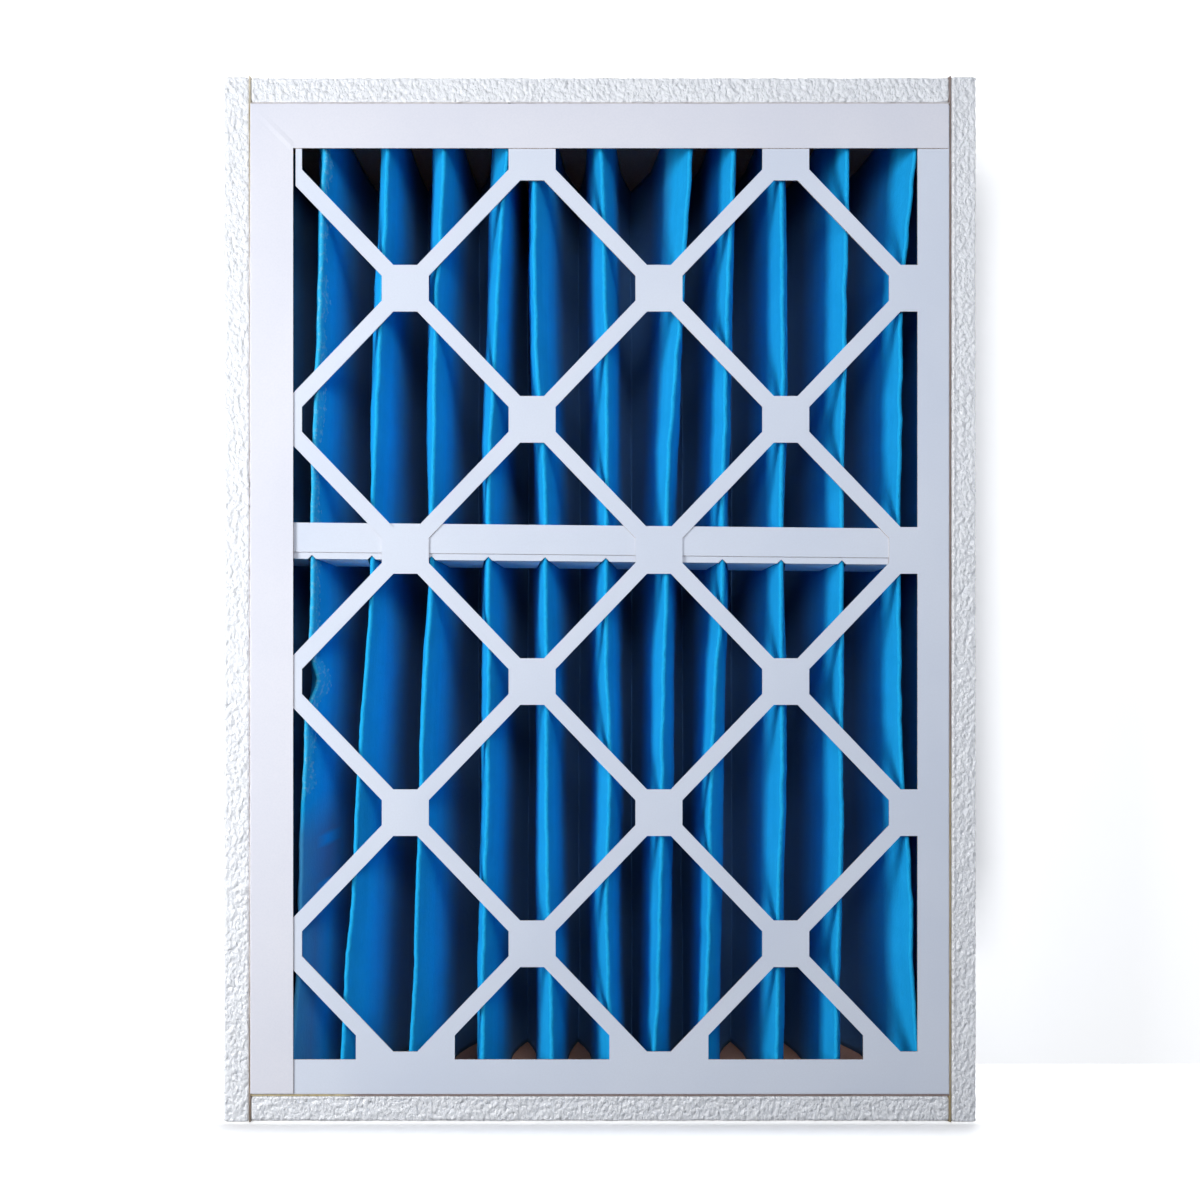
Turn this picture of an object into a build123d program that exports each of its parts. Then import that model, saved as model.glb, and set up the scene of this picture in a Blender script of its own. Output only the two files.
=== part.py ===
from build123d import *
import os

# A deep pleated panel air filter: a two-part folded board carton round one folded sheet of
# nonwoven media, spaced by a notched comb on each face, with a foam gasket on its four edges.
# Millimetres. X is the width, Y the airflow (front face towards -Y), Z up. The origin is at the
# bottom centre of the lower foam strip, on which the filter stands.

# Carton
carton_width = 350.0
carton_height = 496.0
carton_depth = 95.0
board = 0.7                # thickness of the clay-coated board
fold_radius = 0.6          # outside radius of its folds
side_margin = 16.0         # margin of the grid sheet that turns into a side wall
end_margin = 17.5          # margin that turns into an end wall
side_flange = 21.5         # flange that laps over the other part's sheet, at the side
end_flange = 22.5          # the same at the end
tuck = 2.0                 # how far the window runs on under a lapping flange
corner_tab_height = 30.0   # glue tab inside the folded corner

# Lattice of the grid sheets: pads joined by diagonal struts, with cut-off diamond holes
half_pitch_x = 63.5
half_pitch_z = 65.65
columns = 6
rows = 8
first_pad_x = -161.0
first_pad_z = 483.35
hole_half_width = 51.75
hole_half_height = 54.0
hole_side_flat = 6.25      # half of the short upright edge at a hole's side corner
hole_end_flat = 6.0        # half of the short level edge at its top and bottom
foot_hole_half_width = 38.75
corner_slit_right = -152.4   # the slit that frees the corner half pad from its margin
corner_slit_bottom = 467.8

# Foam gasket and the tape that holds it
foam_thickness = 13.2
foam_depth = 94.0
foam_edge = 0.8            # its cut edges are a little crushed
tape_thickness = 0.8
tape_depth = 93.6

# Folded media: where its front folds stand at each height, as they wander from the comb
media_thickness = 1.9
comb_folds = (-144.5, -114.5, -84.5, -56.0, -27.5, 3.0, 33.5, 61.5, 91.0, 121.5, 150.0)
fold_drift = (
    (509.3, (7.0, 9.5, 6.5, 10.0, -5.5, -3.0, 13.5, 7.0, 0.0, 3.5, 10.0)),
    (411.5, (3.8, 4.5, 2.5, 4.5, -5.0, -0.5, 7.0, 3.0, 1.0, 1.5, 1.5)),
    (303.0, (0.0,) * 11),
    (277.0, (0.0,) * 11),
    (186.5, (-4.0, -5.5, -4.5, -1.0, 0.5, 1.5, -2.5, -5.0, 0.0, 0.0, 1.5)),
    (86.5, (-7.0, -11.5, -7.5, -2.0, 2.0, 1.0, -3.5, -7.5, -1.5, -2.0, 7.0)),
    (14.7, (-10.0, -16.0, -11.5, -3.0, 3.0, 3.0, -6.0, -9.5, -2.5, -3.5, 9.5)),
)

# Comb across each face
comb_height = 18.0
comb_reach = 26.0          # how far its teeth go in between the pleats
comb_clearance = 0.4
comb_top = 299.0
comb_notch = 2.0           # cut into the edge of the comb where a fold seats
cover_height = 14.7
front_comb_tilt = 0.57     # degrees, left end high

# Worked out
foam_and_tape = foam_thickness + tape_thickness
left, right = -carton_width / 2, carton_width / 2
bottom, top = foam_and_tape, foam_and_tape + carton_height
front, rear = -carton_depth / 2, carton_depth / 2
total_height = carton_height + 2 * foam_and_tape
middle_z = total_height / 2
sheet_front = front + board            # outer side of the grid sheet
cover_front = sheet_front + board      # behind the sheet: the cover strip
comb_front = cover_front + board
media_front = comb_front + board       # the folds bear on the back of the comb
media_rear = -media_front
media_left = left + 2 * board           # clear of the glue tabs
media_right = -media_left
comb_end = media_right - comb_clearance
front_folds = [media_left, *comb_folds, media_right]
rear_folds = [(a + b) / 2 for a, b in zip(front_folds, front_folds[1:])]


def slab(x0, x1, y0, y1, z0, z1):
    """A rectangular block between two corners."""
    return Pos((x0 + x1) / 2, (y0 + y1) / 2, (z0 + z1) / 2) * Box(x1 - x0, y1 - y0, z1 - z0)


def rectangle(x0, x1, z0, z1):
    """A rectangle in a face's own plane, between two corners."""
    return Pos((x0 + x1) / 2, (z0 + z1) / 2) * Rectangle(x1 - x0, z1 - z0)


def lattice_hole(column, row):
    """One diamond hole with its four corners cut off; the lowest row is narrower, on feet."""
    x = first_pad_x + half_pitch_x * column
    z = first_pad_z - half_pitch_z * row
    quarter = ((hole_half_width, hole_side_flat), (hole_end_flat, hole_half_height))
    corners = [(x + a, z + b) for a, b in quarter]
    corners += [(x - a, z + b) for a, b in reversed(quarter)]
    corners += [(x - a, z - b) for a, b in quarter]
    corners += [(x + a, z - b) for a, b in reversed(quarter)]
    hole = make_face(Polyline(*corners, close=True))
    if row < rows - 1:
        return hole
    foot = rectangle(x - foot_hole_half_width, x + foot_hole_half_width, 0, total_height)
    return hole & foot


def grid_sheet():
    """The flat grid with its margins, drawn in its own plane."""
    sheet = rectangle(left + board, right, bottom, top - board)
    window_left = left + side_flange - tuck
    window_top = top - end_flange + tuck
    window = rectangle(window_left, right - side_margin, bottom + end_margin, window_top)
    for row in range(rows):
        for column in range((row + 1) % 2, columns, 2):
            sheet -= lattice_hole(column, row) & window
    return sheet - rectangle(window_left, corner_slit_right, corner_slit_bottom, window_top)


def fold_edges(part):
    """The outside edges along which the board is folded."""
    edges = part.edges()
    chosen = edges.filter_by(Axis.Z).filter_by_position(Axis.X, right - 0.01, right + 0.01)
    chosen += edges.filter_by(Axis.X).filter_by_position(Axis.Z, bottom - 0.01, bottom + 0.01)
    return [edge for edge in chosen if edge.length > carton_width / 2]


def carton_part():
    """The front part: grid sheet, right wall, bottom wall and the flanges lapped on the rear."""
    wall_top = top - board
    part = extrude(Plane.XZ.offset(-cover_front) * grid_sheet(), amount=board)
    part += slab(right - board, right, sheet_front, rear, bottom, wall_top)
    part += slab(left + board, right, sheet_front, rear, bottom, bottom + board)
    part += slab(right - side_flange, right, rear - board, rear, bottom, wall_top)
    part += slab(left + board, right, rear - board, rear, bottom, bottom + end_flange)
    tab = Plane.YZ.offset(right - 2 * board) * make_face(Polyline(
        (cover_front + 4, bottom + board), (-cover_front - 4, bottom + board),
        (-cover_front - 14, bottom + corner_tab_height),
        (cover_front + 14, bottom + corner_tab_height), close=True))
    part += extrude(tab, amount=board)
    return fillet(fold_edges(part), fold_radius)


def turned_over(part):
    """The other half of the carton: the first one turned end for end, side for side and over."""
    level = Plane(origin=(0, 0, middle_z), x_dir=(1, 0, 0), z_dir=(0, 0, 1))
    return mirror(mirror(mirror(part, about=Plane.XZ), about=Plane.YZ), about=level)


def folded_section(folds):
    """Outline of the folded media at one height: a band one sheet thick that runs from the left
    wall to the right wall, round a blunt nose at each front fold and each rear fold."""
    t = media_thickness
    nose = ((-t, t), (-0.4 * t, 0), (0.4 * t, 0), (t, t))
    front_side = [(folds[0] + t, media_front)]
    for crease, fold in zip(rear_folds, folds[1:-1]):
        front_side.append((crease, media_rear - t))
        front_side += [(fold + a, media_front + b) for a, b in nose]
    front_side += [(rear_folds[-1], media_rear - t), (folds[-1] - t, media_front)]
    rear_side = [(folds[0], media_front)]
    for fold, crease in zip(rear_folds, [*folds[1:-1], None]):
        rear_side += [(fold + a, media_rear - b) for a, b in nose]
        if crease is not None:
            rear_side.append((crease, media_front + t))
    rear_side.append((folds[-1], media_front))
    return make_face(Polyline(*front_side, *reversed(rear_side), close=True))


def pleated_media():
    """The whole folded sheet, ruled between its outlines at the heights where it is known."""
    sections = []
    for height, drift in fold_drift:
        folds = [media_left, *(x + d for x, d in zip(comb_folds, drift)), media_right]
        sections.append(Plane.XY.offset(height) * folded_section(folds))
    return loft(sections, ruled=True)


def comb_tooth(a, b, crease):
    """One tooth of a comb, in plan, between the leaves from folds a and b to the crease."""
    t = media_thickness
    run = (comb_reach - t) / (media_rear - media_front - 2 * t)
    start_a, start_b = a + t + comb_clearance, b - t - comb_clearance
    end_a = start_a + (crease - a - t) * run
    end_b = start_b + (crease - b + t) * run
    return (start_a, 0), (start_b, 0), (end_b, comb_reach), (end_a, comb_reach)


def comb(folds, teeth, side):
    """A notched channel: a web across the folds, and two toothed legs in between them.
    Side is 1 for the front comb, whose teeth point towards +Y, and -1 for the rear one."""
    low = comb_top - comb_height
    web = rectangle(-comb_end, comb_end, low, comb_top)
    for x in folds:
        for z, sign in ((low, 1), (comb_top, -1)):
            web -= make_face(Polyline((x - comb_notch, z), (x, z + sign * comb_notch),
                                      (x + comb_notch, z), close=True))
    outer = comb_front if side > 0 else -media_front
    part = extrude(Plane.XZ.offset(-outer - board) * web, amount=board)
    for tooth in teeth:
        plan = make_face(Polyline(*((x, side * (media_front + d)) for x, d in tooth), close=True))
        for z in (low, comb_top - board):
            part += extrude(Plane.XY.offset(z) * plan, amount=board)
    return part


def end_tooth(wall, fold, far):
    """The tooth beside a wall of the carton, behind the end leaf."""
    run = comb_reach / (media_rear - media_front)
    sign = 1 if fold > wall else -1
    near = fold - sign * (media_thickness + comb_clearance)
    return (wall, 0), (near, 0), (near + (far - near) * run, comb_reach), (wall, comb_reach)


def front_comb():
    """The comb on the front face."""
    teeth = [comb_tooth(a, b, crease)
             for a, b, crease in zip(front_folds, front_folds[1:], rear_folds)]
    return comb(comb_folds, teeth, 1)


def rear_comb():
    """The comb on the rear face, with a tooth behind each end leaf as well."""
    teeth = [comb_tooth(a, b, crease)
             for a, b, crease in zip(rear_folds, rear_folds[1:], comb_folds)]
    teeth.append(end_tooth(-comb_end, rear_folds[0], media_left))
    teeth.append(end_tooth(comb_end, rear_folds[-1], media_right))
    return comb(rear_folds, teeth, -1)


def tilted(part):
    """Turned in the plane of the face about the middle of the comb, left end high."""
    pivot = Pos(0, 0, comb_top - comb_height / 2)
    return pivot * Rot(0, front_comb_tilt, 0) * pivot.inverse() * part


def cover_strip(y0):
    """The plain strip glued over the comb's web."""
    return slab(-comb_end, comb_end, y0, y0 + board, comb_top - cover_height, comb_top)


def foam_strip(x0, x1, z0, z1):
    """A strip of gasket foam with its edges crushed back."""
    strip = slab(x0, x1, -foam_depth / 2, foam_depth / 2, z0, z1)
    return chamfer(strip.edges(), foam_edge)


def tape_strip(x0, x1, z0, z1):
    """The double-sided tape under a foam strip."""
    return slab(x0, x1, -tape_depth / 2, tape_depth / 2, z0, z1)


outer_x = right + foam_and_tape
carton_half = carton_part()
nodes = {
    "front_frame": carton_half,
    "rear_frame": turned_over(carton_half),
    "pleated_media": pleated_media(),
    "front_comb": tilted(front_comb()),
    "front_comb_cover": tilted(cover_strip(cover_front)),
    "rear_comb": rear_comb(),
    "rear_comb_cover": cover_strip(-comb_front),
    "foam_strip_left": foam_strip(-outer_x, left - tape_thickness, 0, total_height),
    "foam_strip_right": foam_strip(right + tape_thickness, outer_x, 0, total_height),
    "foam_strip_bottom": foam_strip(left, right, 0, foam_thickness),
    "foam_strip_top": foam_strip(left, right, top + tape_thickness, total_height),
    "tape_left": tape_strip(left - tape_thickness, left, 0, total_height),
    "tape_right": tape_strip(right, right + tape_thickness, 0, total_height),
    "tape_bottom": tape_strip(left, right, foam_thickness, bottom),
    "tape_top": tape_strip(left, right, top, top + tape_thickness),
}

os.makedirs("parts", exist_ok=True)
for name, part in nodes.items():
    export_step(part, f"parts/{name}.step")
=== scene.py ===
# %% [markdown]
# # A deep pleated panel air filter
# The filter is a folded board carton with a diamond grid on each face, a folded sheet of blue
# nonwoven media inside it, a notched comb across the pleats and a foam gasket round the edges.
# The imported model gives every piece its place. Here the soft and rough pieces (the media, the
# foam and its tape) are made again as fine surfaces, and every piece gets its real finish.

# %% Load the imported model
import bmesh
import bpy
import math
import mathutils
import numpy as np
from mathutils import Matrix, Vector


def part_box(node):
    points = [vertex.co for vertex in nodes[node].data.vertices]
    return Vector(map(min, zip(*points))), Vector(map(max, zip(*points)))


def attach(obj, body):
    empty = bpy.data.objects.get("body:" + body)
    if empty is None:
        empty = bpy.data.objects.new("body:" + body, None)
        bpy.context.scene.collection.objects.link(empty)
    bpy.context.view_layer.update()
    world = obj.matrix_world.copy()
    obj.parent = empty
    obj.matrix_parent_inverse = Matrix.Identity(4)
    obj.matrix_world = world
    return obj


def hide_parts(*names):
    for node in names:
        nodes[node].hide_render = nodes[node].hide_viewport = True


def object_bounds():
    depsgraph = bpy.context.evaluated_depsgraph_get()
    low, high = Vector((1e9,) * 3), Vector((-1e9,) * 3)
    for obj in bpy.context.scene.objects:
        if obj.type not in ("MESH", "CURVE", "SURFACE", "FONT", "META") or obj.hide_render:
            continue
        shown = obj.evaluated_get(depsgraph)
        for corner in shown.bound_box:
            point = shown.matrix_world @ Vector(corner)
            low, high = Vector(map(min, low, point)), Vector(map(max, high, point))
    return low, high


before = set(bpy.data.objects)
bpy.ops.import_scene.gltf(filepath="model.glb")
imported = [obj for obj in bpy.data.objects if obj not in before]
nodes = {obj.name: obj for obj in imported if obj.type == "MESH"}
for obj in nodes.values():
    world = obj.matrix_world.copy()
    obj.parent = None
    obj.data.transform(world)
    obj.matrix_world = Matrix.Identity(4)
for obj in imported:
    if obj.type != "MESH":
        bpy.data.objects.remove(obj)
cad_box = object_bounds()
mm = 0.001


def span(node):
    """The lowest and highest corners of a node of the frame, in millimetres."""
    low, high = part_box(node)
    return np.array(low) / mm, np.array(high) / mm


whole_low, whole_high = (np.array(corner) / mm for corner in cad_box)
front_face = whole_low[1]
total_height = whole_high[2]
print("filter", np.round(whole_high - whole_low, 1), "mm, nodes:", len(nodes))

# %% [markdown]
# ## The camera
# The filter stands upright and the camera looks straight at it from a little over half a metre,
# so that the end walls just show between the pleats. The camera is level and lower than the
# middle of the filter. A small upward shift of the lens brings the whole face into the square
# picture and keeps its sides parallel, where a tilt would make them lean.

# %% Camera
picture_width = 600.0        # mm of the front face across the picture
picture_middle = 261.5       # height on the front face at the middle of the picture
eye_height = 199.5           # mm above the floor
eye_distance = 559.0         # mm in front of the front face
sensor = 36.0                # mm across

camera_data = bpy.data.cameras.new("camera")
camera = bpy.data.objects.new("camera", camera_data)
bpy.context.scene.collection.objects.link(camera)
camera_data.sensor_width = sensor
camera_data.lens = sensor * eye_distance / picture_width
camera_data.shift_y = (picture_middle - eye_height) / picture_width
camera.location = (0, (front_face - eye_distance) * mm, eye_height * mm)
camera.rotation_euler = (math.radians(90), 0, 0)
bpy.context.scene.camera = camera
print(f"lens {camera_data.lens:.1f} mm, shift {camera_data.shift_y:.3f}")

# %% [markdown]
# ## Helpers for finishes
# Colours are written as they look on a screen, in hex, and one function turns them into the
# linear values that a shader works with. One more adds a node, sets it and links it, so that a
# finish reads as a list of what it is made of. The others name the few steps that come up in
# every finish: mixing two colours, stretching a pattern and a step of arithmetic.


# %% Colour and nodes
def linear(code):
    """An sRGB hex colour as linear red, green, blue and alpha."""
    values = np.array([int(code[i:i + 2], 16) for i in (1, 3, 5)]) / 255
    low, high = values / 12.92, ((values + 0.055) / 1.055) ** 2.4
    return (*np.where(values <= 0.04045, low, high), 1.0)


def finish_named(name):
    """A new material that has no nodes yet."""
    material = bpy.data.materials.new(name)
    material.use_nodes = True
    material.node_tree.nodes.clear()
    return material


def add(owner, kind, sockets=None, **settings):
    """Adds one node to a material or the world, its owner. sockets gives each input a plain
    value or another node's output, and the settings are what else the node is set to."""
    node = owner.node_tree.nodes.new(kind)
    for key, value in settings.items():
        setattr(node, key, value)
    for key, value in (sockets or {}).items():
        if isinstance(value, bpy.types.NodeSocket):
            owner.node_tree.links.new(value, node.inputs[key])
        else:
            node.inputs[key].default_value = value
    return node


def per_metre(size):
    """The scale of a pattern on Object coordinates whose repeat is size millimetres."""
    return 1 / (size * mm)


def blend_colours(owner, share, first, second):
    """The mix of two colours (values or sockets) by share, as an output socket."""
    node = add(owner, "ShaderNodeMix", {0: share, 6: first, 7: second}, data_type="RGBA")
    return node.outputs[2]


def ramp(owner, value, low, high, to_low=0.0, to_high=1.0):
    """Stretches a value so that low to high becomes to_low to to_high, and holds it there."""
    node = add(owner, "ShaderNodeMapRange",
               {0: value, 1: low, 2: high, 3: to_low, 4: to_high}, clamp=True)
    return node.outputs[0]


def formula(owner, operation, *values):
    """One arithmetic step on sockets or numbers."""
    node = add(owner, "ShaderNodeMath", dict(enumerate(values)), operation=operation)
    return node.outputs[0]


print("white is", [round(float(v), 2) for v in linear("#FFFFFF")])

# %% [markdown]
# ## Helpers for surfaces
# Every new piece is a grid of points: one number runs along the piece, the other across it, and
# numpy works out all the points at once. Hand-made things wander a little, so the helpers
# include a smooth random field: random heights on a coarse lattice, blended in between.


# %% Random fields
lattice = (97, 89)     # corners of the random field each way, after which it repeats
shifted = 500          # added to both places, which keeps them above zero


def wander(seed, u, v=0.0):
    """Smooth random values from -1 to 1 over the plane (u, v). Each corner of a unit lattice
    has a random value, and between corners they are blended by the curve 3t^2 - 2t^3."""
    table = np.random.default_rng(seed).uniform(-1, 1, lattice)
    u, v = np.broadcast_arrays(np.asarray(u, float) + shifted, np.asarray(v, float) + shifted)
    i, j = np.floor(u).astype(int), np.floor(v).astype(int)
    a, b = u - i, v - j
    a, b = a * a * (3 - 2 * a), b * b * (3 - 2 * b)

    def corner(p, q):
        return table[(i + p) % lattice[0], (j + q) % lattice[1]]

    low = corner(0, 0) * (1 - a) + corner(1, 0) * a
    return low * (1 - b) + (corner(0, 1) * (1 - a) + corner(1, 1) * a) * b


print("a random field runs from", round(float(wander(1, np.arange(99)).min()), 2))


# %% Grids and pieces
def grid_quads(rows, columns, close_across=False, offset=0):
    """The four corner numbers of every cell of a grid whose points are stored row by row.
    Closed across, the last column joins the first."""
    i, j = np.meshgrid(np.arange(rows - 1), np.arange(columns - (not close_across)),
                       indexing="ij")
    k = (j + 1) % columns
    quads = np.stack([i * columns + j, i * columns + k, (i + 1) * columns + k,
                      (i + 1) * columns + j], axis=-1)
    return quads.reshape(-1, 4) + offset


def make_piece(name, points, quads, material):
    """A mesh object from points in millimetres and quads; it rides on the one body."""
    mesh = bpy.data.meshes.new(name)
    mesh.from_pydata((points.reshape(-1, 3) * mm).tolist(), [], quads.tolist())
    mesh.validate()
    mesh.polygons.foreach_set("use_smooth", np.full(len(mesh.polygons), True))
    mesh.materials.append(material)
    piece = bpy.data.objects.new(name, mesh)
    bpy.context.scene.collection.objects.link(piece)
    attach(piece, "root")
    return piece


def close_up(piece):
    """Merges points that meet, such as the last ring of an end, and turns faces outwards."""
    mesh = bmesh.new()
    mesh.from_mesh(piece.data)
    bmesh.ops.remove_doubles(mesh, verts=mesh.verts, dist=0.01 * mm)
    bmesh.ops.recalc_face_normals(mesh, faces=mesh.faces)
    mesh.to_mesh(piece.data)
    mesh.free()


def store(piece, name, values):
    """Keeps one number per point on the mesh, for a material to read."""
    layer = piece.data.attributes.new(name, "FLOAT", "POINT")
    layer.data.foreach_set("value", np.asarray(values, np.float32).ravel())


print("a grid of 3 rows and 4 columns has", len(grid_quads(3, 4)), "quads")

# %% [markdown]
# ## Clay-coated board
# The carton and the combs are folded from solid board: brown kraft fibre inside, and outside a
# white clay coat that is smooth, faintly cool in colour and only slightly glossy. A face is
# outside when it looks away from the middle of its box, so one sum of position times normal
# tells the coat from the kraft, and the die-cut edges of the thin sheets get a colour of their
# own. The flanges are a slightly warmer white than the grid.

# %% Where the board's parts begin
board_thickness = 0.7
comb_low, comb_high = span("front_comb")
comb_middle_z = (comb_low[2] + comb_high[2]) / 2
face_start = whole_high[1] - 2 * board_thickness - 0.05   # mm from the middle plane
flange_start = whole_high[1] - board_thickness / 2        # mm from the middle plane
crease_end = (-154.5, 489.0)   # X and Z of the corner that the crease runs out from, in mm
print(f"the face's cut sheets begin {face_start:.2f} mm from the middle plane")


# %% The coat's colour
def coat_colour(board, place, depth, pulp):
    """Two whites that drift into each other over 70 mm, a pair for the grid and a pair for the
    flanges. Coarse pulp greys them a little, and here and there is a brown speck."""
    cloud = add(board, "ShaderNodeTexNoise", {"Vector": place, "Scale": per_metre(70.0),
                                              "Detail": 4.0}).outputs["Fac"]
    drift = ramp(board, cloud, 0.35, 0.65)
    grid_white = blend_colours(board, drift, linear("#DCE5F7"), linear("#E3EBFB"))
    flange_white = blend_colours(board, drift, linear("#E6E8F5"), linear("#ECEDF8"))
    on_flange = formula(board, "GREATER_THAN", depth, flange_start * mm)
    white = blend_colours(board, on_flange, grid_white, flange_white)
    white = blend_colours(board, ramp(board, pulp, 0.35, 0.75, 0.0, 0.25), white,
                          linear("#D8DDEC"))
    speck = add(board, "ShaderNodeTexVoronoi", {"Vector": place, "Scale": per_metre(26.0)},
                feature="F1")
    near = ramp(board, speck.outputs["Distance"], 0.010, 0.022, 1.0, 0.0)
    chosen = add(board, "ShaderNodeSeparateColor", {0: speck.outputs["Color"]}).outputs[0]
    spot = formula(board, "MULTIPLY", near, ramp(board, chosen, 0.80, 0.82, 0.0, 0.7))
    return blend_colours(board, spot, white, linear("#7A5A48"))


print("coat whites from", [round(float(v), 2) for v in linear("#DCE5F7")[:3]])


# %% A crease at one corner
def crease_ridge(board, place, y):
    """Height of the short crease on the front, which runs out at 45 degrees from a corner. It
    is 1 on the line and falls to 0 beside it, starts at the corner and dies out along it."""
    diagonal = 0.7071
    fold_end = (crease_end[0] * mm, 0, crease_end[1] * mm)
    from_end = add(board, "ShaderNodeVectorMath", {0: place, 1: fold_end},
                   operation="SUBTRACT").outputs[0]
    beside = add(board, "ShaderNodeVectorMath", {0: from_end, 1: (diagonal, 0, diagonal)},
                 operation="DOT_PRODUCT").outputs["Value"]
    past = add(board, "ShaderNodeVectorMath", {0: from_end, 1: (-diagonal, 0, diagonal)},
               operation="DOT_PRODUCT").outputs["Value"]
    across = ramp(board, formula(board, "ABSOLUTE", beside), 0.0, 2.2 * mm, 1.0, 0.0)
    dying_out = ramp(board, past, 4 * mm, 24 * mm, 1.0, 0.0)
    started = ramp(board, past, -2 * mm, 0.0, 0.0, 1.0)
    on_front = formula(board, "LESS_THAN", y, -flange_start * mm)
    ridge = formula(board, "MULTIPLY", across, formula(board, "MULTIPLY", dying_out, started))
    return formula(board, "MULTIPLY", ridge, on_front)


print("the crease starts at X and Z", crease_end)


# %% Board
def board_finish(name, middle, sheets_start):
    """Clay-coated kraft board. The middle is inside the folded box, and sheets_start is how far
    from the middle plane its cut sheets begin, both in millimetres."""
    board = finish_named(name)
    place = add(board, "ShaderNodeTexCoord").outputs["Object"]
    normal = add(board, "ShaderNodeNewGeometry").outputs["Normal"]
    y = add(board, "ShaderNodeSeparateXYZ", {0: place}).outputs["Y"]
    depth = formula(board, "ABSOLUTE", y)
    pulp = add(board, "ShaderNodeTexNoise", {"Vector": place, "Scale": per_metre(0.9),
                                             "Detail": 3.0}).outputs["Fac"]
    kraft = blend_colours(board, ramp(board, pulp, 0.3, 0.7), linear("#C8917A"),
                          linear("#D6A68E"))
    core = blend_colours(board, ramp(board, pulp, 0.35, 0.65), linear("#A98E7C"),
                         linear("#D9CDC6"))

    middle_m = tuple(value * mm for value in middle)
    arm = add(board, "ShaderNodeVectorMath", {0: place, 1: middle_m}, operation="SUBTRACT")
    outwards = add(board, "ShaderNodeVectorMath", {0: arm.outputs[0], 1: normal},
                   operation="DOT_PRODUCT").outputs["Value"]
    coated = ramp(board, outwards, -0.5 * mm, 0.5 * mm)
    colour = blend_colours(board, coated, kraft, coat_colour(board, place, depth, pulp))
    turned = add(board, "ShaderNodeSeparateXYZ", {0: normal}).outputs["Y"]
    upright = formula(board, "LESS_THAN", formula(board, "ABSOLUTE", turned), 0.5)
    in_face = formula(board, "GREATER_THAN", depth, sheets_start * mm)
    colour = blend_colours(board, formula(board, "MULTIPLY", in_face, upright), colour, core)

    fibre = add(board, "ShaderNodeTexNoise", {"Vector": place, "Scale": per_metre(0.5),
                                              "Detail": 2.0}).outputs["Fac"]
    press = add(board, "ShaderNodeBump", {"Height": fibre, "Strength": 0.12,
                                          "Distance": 0.1 * mm})
    creased = add(board, "ShaderNodeBump", {"Height": crease_ridge(board, place, y),
                                            "Strength": 0.6, "Distance": 0.5 * mm,
                                            "Normal": press.outputs[0]})
    shader = add(board, "ShaderNodeBsdfPrincipled",
                 {"Base Color": colour, "Roughness": 0.52, "IOR": 1.45,
                  "Specular IOR Level": 0.35, "Normal": creased.outputs[0]})
    add(board, "ShaderNodeOutputMaterial", {"Surface": shader.outputs[0]})
    return board


def dress(names, material):
    """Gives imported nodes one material. Their meshes stay as they are."""
    for name in names:
        nodes[name].data.materials.clear()
        nodes[name].data.materials.append(material)
    print(material.name, "on", names)


dress(["front_frame", "rear_frame"],
      board_finish("clay_coated_kraft_board", (0, 0, total_height / 2), face_start))
dress(["front_comb", "front_comb_cover", "rear_comb", "rear_comb_cover"],
      board_finish("clay_coated_comb_board", (0, 0, comb_middle_z),
                   face_start - 2 * board_thickness))

# %% [markdown]
# ## The folded media
# One sheet of nonwoven fibre runs from the left wall to the right wall, round a blunt nose at
# each of 11 front folds and 12 rear folds. Nothing but the comb holds the folds straight, so
# each wanders sideways above and below it. Where each fold stands is known at a few heights;
# a smooth curve joins them, and a little random drift makes it look hand-fed. The sheet's two
# sides are worked out together, so that it has a real thickness and closed edges.

# %% Where the folds stand
media_low, media_high = span("pleated_media")
pleat_depth = media_high[1] - media_low[1]
sheet_thickness = 1.2
nose_radius = 1.35                               # outside of a fold
crease_radius = nose_radius - sheet_thickness    # inside of it
comb_folds = np.array([-144.5, -114.5, -84.5, -56.0, -27.5, 3.0, 33.5, 61.5, 91.0, 121.5, 150.0])
fold_heights = np.array([509.3, 411.5, 303.0, 277.0, 186.5, 86.5, 14.7])
fold_drift = np.array([      # how far each fold has moved sideways at each of those heights
    [7.0, 9.5, 6.5, 10.0, -5.5, -3.0, 13.5, 7.0, 0.0, 3.5, 10.0],
    [3.8, 4.5, 2.5, 4.5, -5.0, -0.5, 7.0, 3.0, 1.0, 1.5, 1.5],
    [0.0] * 11,
    [0.0] * 11,
    [-4.0, -5.5, -4.5, -1.0, 0.5, 1.5, -2.5, -5.0, 0.0, 0.0, 1.5],
    [-7.0, -11.5, -7.5, -2.0, 2.0, 1.0, -3.5, -7.5, -1.5, -2.0, 7.0],
    [-10.0, -16.0, -11.5, -3.0, 3.0, 3.0, -6.0, -9.5, -2.5, -3.5, 9.5],
])


def through(heights, values, at):
    """A smooth curve through known values: between two heights it is the cubic that meets both
    values with the slopes of their neighbours."""
    order = np.argsort(heights)
    known, table = heights[order], values[order]
    slope = np.gradient(table, known, axis=0)
    k = np.clip(np.searchsorted(known, at) - 1, 0, len(known) - 2)
    step = (known[k + 1] - known[k])[:, None]
    t = ((at - known[k]) / step[:, 0])[:, None]
    return ((2 * t**3 - 3 * t**2 + 1) * table[k] + (t**3 - 2 * t**2 + t) * step * slope[k]
            + (3 * t**2 - 2 * t**3) * table[k + 1] + (t**3 - t**2) * step * slope[k + 1])


print("front folds", len(comb_folds), "known at heights", fold_heights)


# %% Lines of the folds
held_half_height = 11.0      # mm above and below the comb's middle in which folds can't move
freed_over = 45.0            # mm in which they come free after that


def freedom(z):
    """How free a fold is at each height: 0 in the comb, rising evenly to 1 away from it."""
    return np.clip((np.abs(z - comb_middle_z) - held_half_height) / freed_over, 0, 1)


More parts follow.
